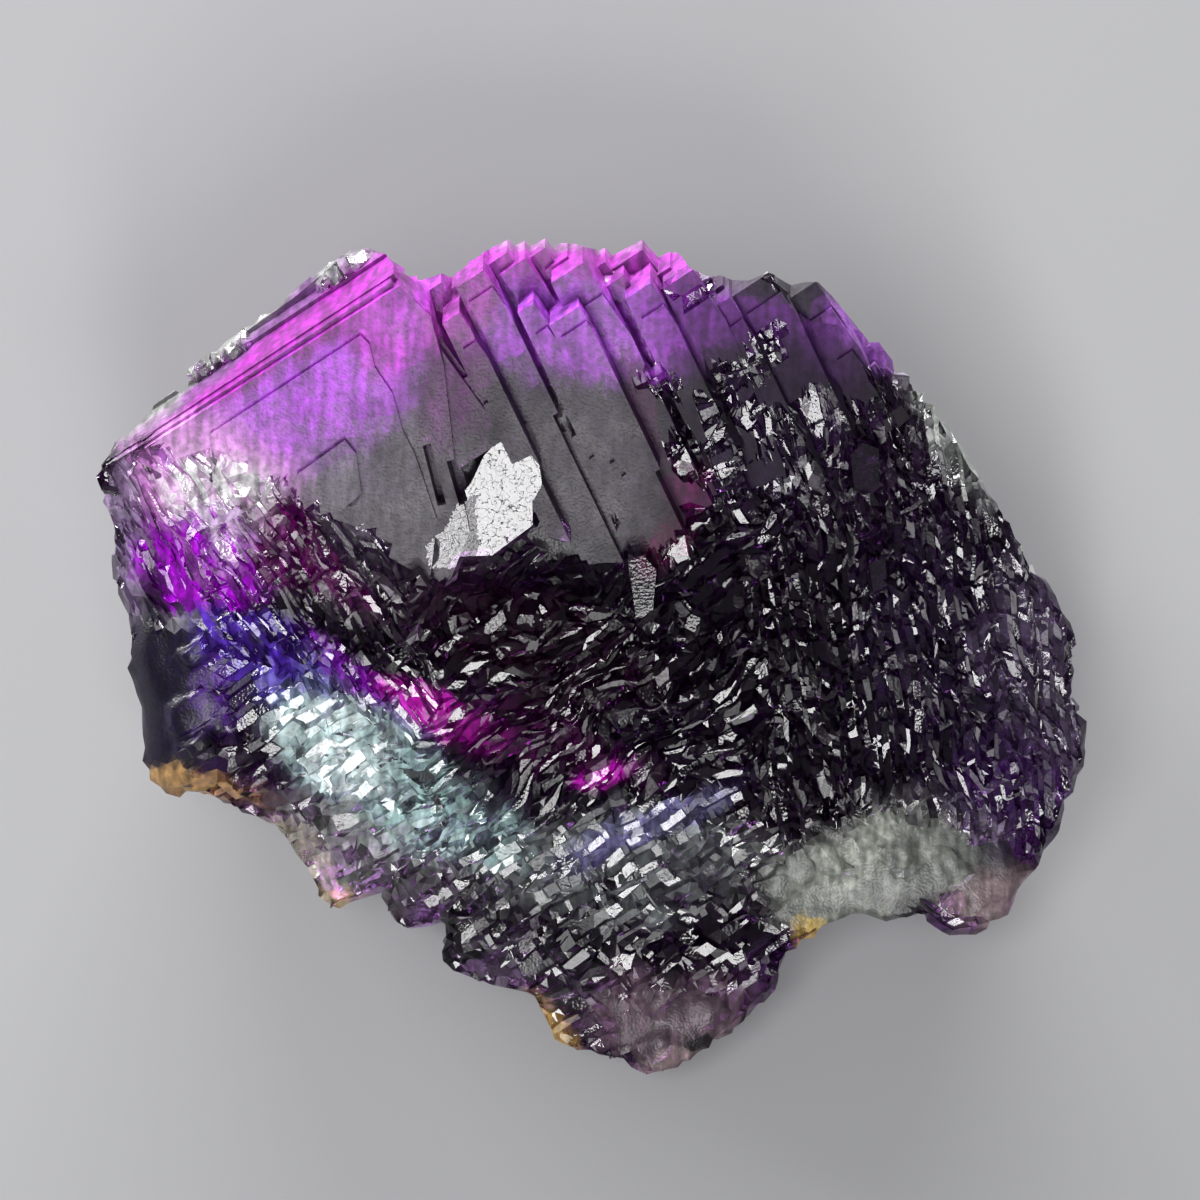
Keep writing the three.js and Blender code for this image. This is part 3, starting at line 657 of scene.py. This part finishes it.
def sorted_faces(name):
    """The solid's faces, small enough to be told apart, and the kind of each."""
    places, tris = cad_surface(name)
    square = on_crystal_axes(places, tris)
    limits = np.where(square, SPLIT_TO_MM[FLAT], COARSE_MM)
    places, tris, square = split_long_edges(places, tris, limits, square)
    middles = places[tris].mean(axis=1)
    from_glassy = np.linalg.norm(middles[:, :2] - np.mean(GLASSY_PART, axis=0), axis=1)
    beside = from_glassy < GLASSY_REACH_MM
    limits = np.where(beside & square, GLASSY_SPLIT_MM, COARSE_MM)
    places, tris, square = split_long_edges(places, tris, limits, square)
    kinds = kinds_of(places, tris, square)
    middles = places[tris].mean(axis=1)
    between_ridges = (above_foot(middles) > RIDGE_SIDES_FROM_MM) & (middles[:, 0] > RIDGES_FROM_X)
    calm = between_ridges & ~square | (calmness(middles) > CALM_FROM)
    kinds[(kinds == ETCHED) & calm] = CALM
    return split_long_edges(places, tris, np.array(SPLIT_TO_MM)[kinds], kinds)


def kept_flat(places, tris, kinds):
    """The points that stay where they are: on flat faces, the base and the windows."""
    return touches(places, tris, np.isin(kinds, (FLAT, BASE, MIRROR)))


def rounded_body(places, tris, kinds):
    edges = edges_of(tris)[0]
    count = np.bincount(edges.ravel(), minlength=len(places)).astype(float)
    pull = np.where(touches(places, tris, kinds == BACK), ROUNDING_PULL_BACK, ROUNDING_PULL)
    pull = np.where(kept_flat(places, tris, kinds), 0, pull)[:, None]
    for _ in range(ROUNDING_TIMES):
        for step in ROUNDING_STEPS:
            places = places + step * pull * (neighbour_mean(places, edges, count) - places)
    return places


def fine_surface(name):
    places, tris, kinds = sorted_faces(name)
    places = rounded_body(places, tris, kinds)
    slope = point_normals(places, tris)[tris].mean(axis=1)[:, 2]
    kinds[(kinds == ETCHED) & (slope < BACK_FROM_SLOPE)] = BACK

    places, tris, kinds = cut_blocks(places, tris, kinds)
    back = touches(places, tris, kinds == BACK)
    etched = touches(places, tris, kinds == ETCHED)
    free = (~kept_flat(places, tris, kinds)).astype(float)
    places = break_cells(places, tris, free * back, **FACETS)
    sharp = 1 - calmness(places)
    sharp *= 1 - GLOW_SOFTENS * nearness(places[:, 0], places[:, 1], *LEFT_PAINTED_GLOW)
    sharp *= 1 - FOOT_SOFTENS * smooth(*FOOT_SOFTENS_OVER, above_foot(places))
    places = level_blocks(places, tris, free * etched * ~back * sharp)
    return merge_block_faces(places, tris, kinds)


# Colour zones of the crystal in the display frame: centre, half width and half height in
# mm, turn in degrees, share, how clear it is there and its colour. The glow zones are
# painted light: pale, bright colour with less clearness. Later ones cover earlier ones.
DEEP = (0.028, 0.010, 0.036)
DEEP_CLEAR = 0.9
BACK_TINT = (0.11, 0.045, 0.16)
ZONES = [
    ("right purple", (29, -4), (10, 15), 0, 0.8, 0.88, (0.055, 0.025, 0.09)),
    ("right haze", (35, -2), (4, 11), 12, 0.8, 0.7, (0.20, 0.15, 0.25)),
    ("deep purple", (32, -11), (5, 6), 0, 0.8, 0.8, (0.12, 0.03, 0.22)),
    ("main face", (-19, 12), (11, 10), 30, 0.9, 0.6, (0.19, 0.165, 0.20)),
    ("plate", (-21.2, 13.8), (2.9, 2.8), 0, 0.8, 0.6, (0.27, 0.26, 0.28)),
    ("main lavender", (-24, 19.5), (15, 6), 34, 1.0, 0.35, (0.62, 0.06, 0.98)),
    ("main tip", (-17, 25.5), (4.5, 4.5), 0, 0.9, 0.35, (0.85, 0.05, 0.95)),
    ("upper band", (-25.3, 24.8), (14, 2.6), 33, 1.0, 0.5, (0.48, 0.010, 0.50)),
    ("pale band", (-27.6, 25.4), (14, 1.2), 38, 0.9, 0.6, (0.28, 0.10, 0.36)),
    ("outer edge", (-29.4, 25.0), (14, 1.1), 40, 0.9, 0.6, (0.42, 0.46, 0.40)),
    ("white lump", (-20.5, 30.6), (3.4, 1.4), 25, 0.9, 0.6, (0.50, 0.55, 0.50)),
    # Painted light: a pale pink glow with a near-white middle, made less clear, where light
    # shines through the corner under the largest crystal.
    ("painted glow left", (-31.0, 13), (8.4, 5.6), -25, 1.0, 0.3, (1.0, 0.40, 1.0)),
    ("painted glow white", (-30.0, 12), (5.6, 3.6), -25, 1.0, 0.2, (1.0, 0.95, 1.0)),
    ("left edge", (-38, 9), (1.6, 7), 5, 0.7, 0.5, (0.66, 0.50, 0.80)),
    # Painted light, partly: the crystal's violet, made bright and less clear as a glow of light
    # shining through from behind.
    ("painted glow under", (-31, 6.8), (6.2, 3.9), -10, 1.0, 0.35, (0.62, 0.005, 0.95)),
    ("under streak", (-23, 7.2), (6.5, 2.6), -35, 1.0, 0.75, (0.30, 0.005, 0.22)),
    ("pale seam", (-33, 2.4), (4.5, 0.8), -8, 0.9, 0.5, (0.60, 0.58, 0.60)),
    ("skyline", (-3, 31.0), (15, 3.4), 0, 1.0, 0.45, (0.52, 0.03, 0.54)),
    ("skyline peaks", (-3, 32.8), (13, 0.9), 0, 0.6, 0.5, (0.45, 0.30, 0.45)),
    ("ridge tops", (-3, 25.4), (13, 4.4), 0, 0.95, 0.4, (0.55, 0.08, 0.86)),
    ("valley", (-11.5, 26), (3, 4), -20, 0.9, 0.5, (0.62, 0.06, 0.62)),
    ("ridge wine", (-11, 20), (3, 5), -15, 0.9, 0.7, (0.24, 0.01, 0.26)),
    ("ridge tops right", (12, 26), (9, 4), -20, 0.9, 0.6, (0.30, 0.05, 0.48)),
    ("right caps", (14, 29.4), (6, 1.6), -10, 0.7, 0.7, (0.10, 0.09, 0.12)),
    ("grey ridges", (-1, 14), (6, 8), 25, 0.85, 0.65, (0.13, 0.11, 0.14)),
    ("ridge red", (3.5, 19), (1.2, 5), 25, 0.6, 0.7, (0.20, 0.01, 0.14)),
    ("dark ridges", (13, 18), (8, 8), -20, 0.9, 0.85, (0.05, 0.02, 0.075)),
    # Painted light, partly: the rim's purple, made bright and less clear as a glow of light along
    # the right edge.
    ("painted glow right edge", (21, 25.5), (1.8, 5), 38, 0.9, 0.5, (0.40, 0.10, 0.62)),
    ("right edge", (27.5, 17.5), (1.6, 7.5), 34, 0.9, 0.6, (0.74, 0.80, 0.72)),
    ("wine", (-6, 1), (12, 5), -20, 0.8, 0.88, (0.07, 0.008, 0.04)),
    ("blue band", (-27, -1), (7, 3.4), -35, 1.0, 0.55, (0.16, 0.05, 0.80)),
    ("violet band", (-19, -3.4), (7, 1.8), -38, 0.9, 0.5, (0.42, 0.02, 0.80)),
    ("pale lower left", (-20, -16), (7, 5.5), -35, 0.9, 0.6, (0.50, 0.55, 0.47)),
    ("teal", (-16, -11), (12, 4.6), -32, 1.0, 0.45, (0.62, 0.92, 0.88)),
    ("teal bright", (-21, -8), (5, 3.2), -30, 0.95, 0.25, (0.80, 1.0, 1.0)),
    ("lower left lobe", (-35, -3), (4, 7), 10, 0.95, 0.88, (0.035, 0.012, 0.12)),
    ("lobe violet", (-31, -4), (2.6, 2.6), 0, 0.8, 0.6, (0.20, 0.03, 0.60)),
    ("tan rim", (-32.3, -10.8), (6, 1.5), -12, 0.95, 0.45, (0.62, 0.36, 0.13)),
    ("cream bay", (-24, -17.5), (2.2, 6), 38, 0.7, 0.45, (0.80, 0.74, 0.55)),
    ("amber bay", (-20.5, -20.6), (5, 1.3), -5, 0.8, 0.45, (0.80, 0.60, 0.22)),
    ("grey rows", (1, -18), (13, 5), 12, 0.95, 0.7, (0.40, 0.46, 0.43)),
    ("lower rim", (-9, -24), (12, 4.5), -25, 0.95, 0.8, (0.15, 0.16, 0.14)),
    ("rows shade", (-4, -24), (12, 3.2), -12, 0.9, 0.88, (0.045, 0.05, 0.05)),
    ("blue seam", (4, -14), (9, 1.5), 24, 0.8, 0.6, (0.40, 0.38, 0.85)),
    ("tongue", (5.5, -30), (8, 5.0), 0, 1.0, 0.6, (0.24, 0.15, 0.20)),
    ("tongue rim", (6, -33.5), (6, 1.6), 25, 0.7, 0.5, (0.50, 0.36, 0.36)),
    ("amber rim", (-4.2, -30.4), (1.3, 3.4), 40, 0.95, 0.4, (0.80, 0.50, 0.14)),
    ("black spot", (7.8, -31.6), (1.7, 0.8), 10, 0.95, 0.8, (0.01, 0.005, 0.01)),
    ("lower right", (21, -17.5), (10.5, 5), 10, 1.0, 0.55, (0.44, 0.47, 0.41)),
    # Painted light: a paler, less clear patch in the middle of the pale lower right, as a glow of
    # light through it.
    ("painted glow lower right", (20, -16), (5, 3), 10, 0.6, 0.45, (0.72, 0.76, 0.66)),
    ("amber notch", (16.4, -22.4), (1.6, 1.6), 30, 0.9, 0.4, (0.85, 0.58, 0.14)),
    ("right corner", (31, -20), (4, 3.0), 0, 0.9, 0.5, (0.50, 0.36, 0.38)),
    ("magenta streak", (-13, -5), (6, 1.8), -25, 0.95, 0.35, (1.0, 0.01, 0.80)),
    ("magenta shade", (-6, -7), (10, 2.8), -18, 0.7, 0.8, (0.20, 0.005, 0.15)),
    ("magenta spot", (0, -10.2), (2.8, 1.2), 25, 0.95, 0.35, (1.0, 0.01, 0.85)),
    ("magenta block", (7, 13), (2, 2.4), 0, 0.9, 0.7, (0.30, 0.005, 0.18)),
    ("magenta corner", (5.8, 8.6), (2, 1.8), 0, 0.8, 0.7, (0.26, 0.005, 0.12)),
]

# The zones' outlines sway with noise, the more the wider the zone.
COLOUR_NOISE = ((1.8, 6.0, 60), (0.9, 1.8, 70))
MOST_SWAY = 1.0
SWAY_PER_RADIUS = 0.4

# An etched block takes more or less of a zone's colour, by a chance of its own.
LEAST_LUCK = 0.35
LUCK_SPREAD = 1.3
LUCK_STRIDE = 7.3

# The faces that point away from the front take the back's colour and clearness.
BEHIND_BY = (0.1, -0.3)
BACK_TINT_SHARE = 0.75
BACK_CLEAR_SHARE = 0.8

# How much lighter or darker one etched block is than the next, by how clear it is.
LEAST_VARIED = 0.3
VARIED_MORE = 0.9
VARIED_BY_CLEAR = (0.35, 0.75)

# Roughness of each kind of face. The duller half of the etched blocks is rougher, and the
# flat crystals' satin grows to the right.
ROUGH = ((BACK, 0.3), (BASE, 0.5), (MIRROR, 0.07), (CALM, 0.36))
SHARP_ROUGH = 0.07
DULL_ABOVE = 0.5
DULL_ROUGH = 0.10
DULLER_ROUGH = 0.7
SATIN_ROUGH = 0.42
SATIN_MORE = 0.3
SATIN_MORE_X = (0, 13)
SATIN_NOISE = ((0.07, 1.6, 81),)
GLASSY_MIRROR = 0.25
GLASSY_ROUGH = 0.2


def crystal_colour_and_painted_glow(points, chance):
    """The colour and clearness at each point, the painted glows of light too.
    Chance sets apart the blocks of the etch.
    """
    wobble = [roughened(0, points, COLOUR_NOISE, k) for k in (0, 1)]
    colour = np.tile(np.array(DEEP), (len(points), 1))
    clear = np.full(len(points), DEEP_CLEAR)
    for number, (_, centre, radii, turn, share, clearness, tint) in enumerate(ZONES):
        sway = min(MOST_SWAY, SWAY_PER_RADIUS * min(radii))
        x, y = (points[:, k] + sway * wobble[k] for k in (0, 1))
        drawn = (chance * (LUCK_STRIDE + number)) % 1.0
        luck = np.where(chance < 0, 1.0, LEAST_LUCK + LUCK_SPREAD * drawn)
        near = share * np.clip(nearness(x, y, centre, radii, turn) * luck, 0, 1)
        colour += near[:, None] * (np.array(tint) - colour)
        clear += near * (clearness - clear)
    return colour, clear


def face_roughness(middles, kinds, duller):
    dull = DULL_ROUGH + DULLER_ROUGH * (duller - DULL_ABOVE)
    rough = np.where(duller > DULL_ABOVE, dull, SHARP_ROUGH)
    for kind, value in ROUGH:
        rough[kinds == kind] = value
    satin = SATIN_ROUGH + SATIN_MORE * smooth(*SATIN_MORE_X, middles[:, 0])
    return np.where(kinds == FLAT, roughened(satin, middles, SATIN_NOISE), rough)


def face_looks(places, tris, kinds):
    """Each face's colour, clearness, roughness and how much of a mirror it is."""
    middles = places[tris].mean(axis=1)
    cells = block_cells(middles)
    chance = np.where(kinds == ETCHED, draw(cells, DRAW_CHANCE), -1.0)
    colour, clear = crystal_colour_and_painted_glow(middles, chance)
    behind = smooth(*BEHIND_BY, face_normals(places, tris)[:, 2])[:, None]
    colour += BACK_TINT_SHARE * behind * (np.array(BACK_TINT) - colour)
    clear += BACK_CLEAR_SHARE * behind[:, 0] * (DEEP_CLEAR - clear)
    varied = LEAST_VARIED + VARIED_MORE * smooth(*VARIED_BY_CLEAR, clear)
    shade = np.where(chance < 0, 1.0, 1 + varied * (chance - 0.5))
    rough = face_roughness(middles, kinds, draw(cells, DRAW_DULL))
    mirror = (kinds == MIRROR).astype(float)
    glassy = (kinds == MIRROR) & inside(GLASSY_PART, middles[:, 0], middles[:, 1])
    mirror[glassy] = GLASSY_MIRROR
    rough[glassy] = GLASSY_ROUGH
    return np.clip(colour * shade[:, None], 0, 1), clear, rough, mirror


def add_piece(name, places_m, tris, rounded):
    mesh = new_mesh(name, places_m, tris)
    mesh.polygons.foreach_set("use_smooth", rounded)
    thing = bpy.data.objects.new(name, mesh)
    bpy.context.scene.collection.objects.link(thing)
    return thing


def mark_faces(mesh, name, values):
    mark = mesh.attributes.new(name, "FLOAT", "FACE")
    mark.data.foreach_set("value", values.astype(np.float32))


def paint_faces(mesh, name, colours):
    paint = mesh.attributes.new(name, "FLOAT_COLOR", "FACE")
    rgba = np.ones((len(colours), 4), np.float32)
    rgba[:, :3] = colours
    paint.data.foreach_set("color", rgba.ravel())


# Materials

# How noises and marks are remapped: from between low and high to between the other two.
CLOUD = dict(low=0.3, high=0.7, to_low=0.6, to_high=1.3)
STREAK = dict(low=0.35, high=0.65, to_low=0.62, to_high=1.3)
CRACK = dict(low=0.007, high=0.017, to_low=0.0, to_high=1.0)
RELIEF = dict(low=0.1, high=0.4, to_low=0.1, to_high=0.4)

# The streaks' noise is drawn out along the ridges, and the cracks follow one level of grain.
STREAK_STRETCH = (1.5, 0.16, 0.5)
CRACK_LEVEL = 0.5


def node(tree, kind, inputs=(), **settings):
    made = tree.nodes.new(kind)
    for name, value in settings.items():
        setattr(made, name, value)
    for socket, value in dict(inputs).items():
        if isinstance(value, bpy.types.NodeSocket):
            tree.links.new(value, made.inputs[socket])
        else:
            made.inputs[socket].default_value = value
    return made


def face_mark(tree, name, output="Fac"):
    return node(tree, "ShaderNodeAttribute", attribute_name=name).outputs[output]


def arithmetic(tree, operation, first, second=0.0, clamped=False):
    made = node(
        tree, "ShaderNodeMath", {0: first, 1: second}, operation=operation, use_clamp=clamped
    )
    return made.outputs[0]


def remapped(tree, value, low, high, to_low, to_high):
    made = node(tree, "ShaderNodeMapRange", {
        "Value": value, "From Min": low, "From Max": high, "To Min": to_low, "To Max": to_high,
    })
    return made.outputs[0]


def place_in_mm(tree):
    coordinates = node(tree, "ShaderNodeTexCoord")
    return node(tree, "ShaderNodeVectorMath", {
        0: coordinates.outputs["Object"], 1: (1 / MM, 1 / MM, 1 / MM),
    }, operation="MULTIPLY").outputs[0]


def growth_colour_and_painted_glow(tree, place, grain):
    """The zones' colours and painted glows, clouded and streaked along the ridges."""
    cloud = remapped(tree, grain, **CLOUD)
    stretched = node(tree, "ShaderNodeMapping", {
        "Vector": place, "Rotation": (0, 0, -math.radians(SPIN_DEG - RIDGE_RUN_DEG)),
        "Scale": STREAK_STRETCH,
    })
    streaks = node(tree, "ShaderNodeTexNoise", {
        "Vector": stretched.outputs[0], "Scale": 1.0, "Detail": 1.0,
    })
    streak = remapped(tree, streaks.outputs["Fac"], **STREAK)
    mottled = arithmetic(tree, "MULTIPLY", cloud, streak)
    return node(tree, "ShaderNodeVectorMath", {
        0: face_mark(tree, "tint", "Color"), 1: mottled,
    }, operation="MULTIPLY").outputs[0]


def uncracked(tree, mirror, grain):
    """How glassy the windows are: not at all in the fine cracks along the grain's contour."""
    off_line = arithmetic(tree, "ABSOLUTE", arithmetic(tree, "SUBTRACT", grain, CRACK_LEVEL))
    sound = remapped(tree, off_line, **CRACK)
    return arithmetic(tree, "MULTIPLY", mirror, sound)


def fine_relief(tree, place):
    fine = node(tree, "ShaderNodeTexNoise", {"Vector": place, "Scale": 5.0, "Detail": 0.0})
    relief = remapped(tree, face_mark(tree, "rough"), **RELIEF)
    return node(tree, "ShaderNodeBump", {
        "Height": fine.outputs["Fac"], "Strength": relief, "Distance": 0.0001,
    }).outputs[0]


def fluorite_material():
    material = bpy.data.materials.new("fluorite")
    material.use_nodes = True
    tree = material.node_tree
    tree.nodes.clear()
    place = place_in_mm(tree)
    mirror = face_mark(tree, "mirror")
    grain = node(tree, "ShaderNodeTexNoise", {
        "Vector": place, "Scale": 1.6, "Detail": 2.0,
    }).outputs["Fac"]
    glass = uncracked(tree, mirror, grain)
    cracked = arithmetic(tree, "SUBTRACT", mirror, glass)
    roughness = arithmetic(tree, "ADD", face_mark(tree, "rough"), cracked, clamped=True)
    shader = node(tree, "ShaderNodeBsdfPrincipled", {
        "Base Color": growth_colour_and_painted_glow(tree, place, grain),
        "Roughness": roughness,
        "Normal": fine_relief(tree, place),
        "IOR": 1.434,
        "Specular IOR Level": 0.8,
        "Coat Weight": glass,
        "Transmission Weight": face_mark(tree, "clear"),
    })
    body = node(tree, "ShaderNodeVolumeAbsorption", {
        "Color": (0.60, 0.34, 0.68, 1),
        "Density": 42.0,
    })
    node(tree, "ShaderNodeOutputMaterial", {
        "Surface": shader.outputs["BSDF"],
        "Volume": body.outputs["Volume"],
    })
    return material


def floor_material():
    material = bpy.data.materials.new("floor")
    material.use_nodes = True
    shader = material.node_tree.nodes["Principled BSDF"]
    shader.inputs["Base Color"].default_value = (0.42, 0.42, 0.43, 1)
    shader.inputs["Roughness"].default_value = 0.9
    shader.inputs["Specular IOR Level"].default_value = 0.1
    return material


# The stage, the lights and the camera

CAMERA_ELEVATION_DEG = 90 - LEAN_DEG
LENS_MM = 400
SENSOR_MM = 36
PHOTO_WIDTH_MM = 96
VIEW_MIDDLE_MM = (0, 4, 3)
FLOOR_REACH_M = 3.0
FLOOR_GAP_M = 0.00005

# Soft lights: name, azimuth, elevation, distance, width and height in metres, and watts.
LIGHTS = [
    ("front", 0, 35, 0.9, (0.18, 0.17), 1.9),
    ("windows", 3, 50, 0.9, (0.4, 0.16), 2.2),
    ("above", -50, 66, 0.9, (0.4, 0.4), 2.2),
    ("behind", 180, 8, 1.0, (0.9, 0.24), 28),
    ("behind left", -125, 10, 1.0, (0.4, 0.24), 12),
]


def add_floor():
    corners = np.array([(-1, -1), (1, -1), (1, 1), (-1, 1)]) * FLOOR_REACH_M
    mesh = bpy.data.meshes.new("floor")
    mesh.from_pydata([(x, y, -FLOOR_GAP_M) for x, y in corners], [], [(0, 1, 2, 3)])
    floor = bpy.data.objects.new("floor", mesh)
    bpy.context.scene.collection.objects.link(floor)
    mesh.materials.append(floor_material())


def add_softbox(name, azimuth, elevation, distance, size, power):
    light = bpy.data.lights.new(name, "AREA")
    light.shape = "RECTANGLE"
    light.size, light.size_y = size
    light.energy = power
    a = math.radians(azimuth)
    e = math.radians(elevation)
    way = Vector((math.sin(a) * math.cos(e), -math.cos(a) * math.cos(e), math.sin(e)))
    thing = bpy.data.objects.new(name, light)
    thing.location = way * distance
    thing.rotation_euler = way.to_track_quat("Z", "Y").to_euler()
    thing.visible_camera = False
    bpy.context.scene.collection.objects.link(thing)


def add_camera():
    camera = bpy.data.cameras.new("camera")
    camera.lens = LENS_MM
    camera.sensor_width = SENSOR_MM
    distance = PHOTO_WIDTH_MM * MM * LENS_MM / SENSOR_MM
    middle = Vector(to_row(np.array([VIEW_MIDDLE_MM], float))[0])
    e = math.radians(CAMERA_ELEVATION_DEG)
    way = Vector((0, -math.cos(e), math.sin(e)))
    thing = bpy.data.objects.new("camera", camera)
    thing.location = middle + way * distance
    thing.rotation_euler = way.to_track_quat("Z", "Y").to_euler()
    bpy.context.scene.collection.objects.link(thing)
    bpy.context.scene.camera = thing


def add_world():
    world = bpy.data.worlds.new("studio")
    bpy.context.scene.world = world
    world.use_nodes = True
    back = world.node_tree.nodes["Background"]
    back.inputs["Color"].default_value = (0.80, 0.82, 0.86, 1)
    back.inputs["Strength"].default_value = 0.2


def set_rendering():
    scene = bpy.context.scene
    scene.view_settings.view_transform = "Standard"
    scene.view_settings.look = "None"
    scene.cycles.max_bounces = 6
    scene.cycles.transmission_bounces = 6
    scene.cycles.diffuse_bounces = 1
    scene.cycles.glossy_bounces = 2
    scene.cycles.use_light_tree = False
    scene.cycles.light_sampling_threshold = 0.05


set_rendering()
add_camera()
add_world()
add_floor()
for light in LIGHTS:
    add_softbox(*light)

places, tris, kinds = fine_surface("fluorite")
tint, clear, rough, mirror = face_looks(places, tris, kinds)
piece = add_piece("fluorite_crystals", to_row(places), tris, kinds == CALM)
paint_faces(piece.data, "tint", tint)
mark_faces(piece.data, "clear", clear)
mark_faces(piece.data, "rough", rough)
mark_faces(piece.data, "mirror", mirror)
piece.data.materials.append(fluorite_material())
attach(piece, "root")
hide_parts("fluorite")
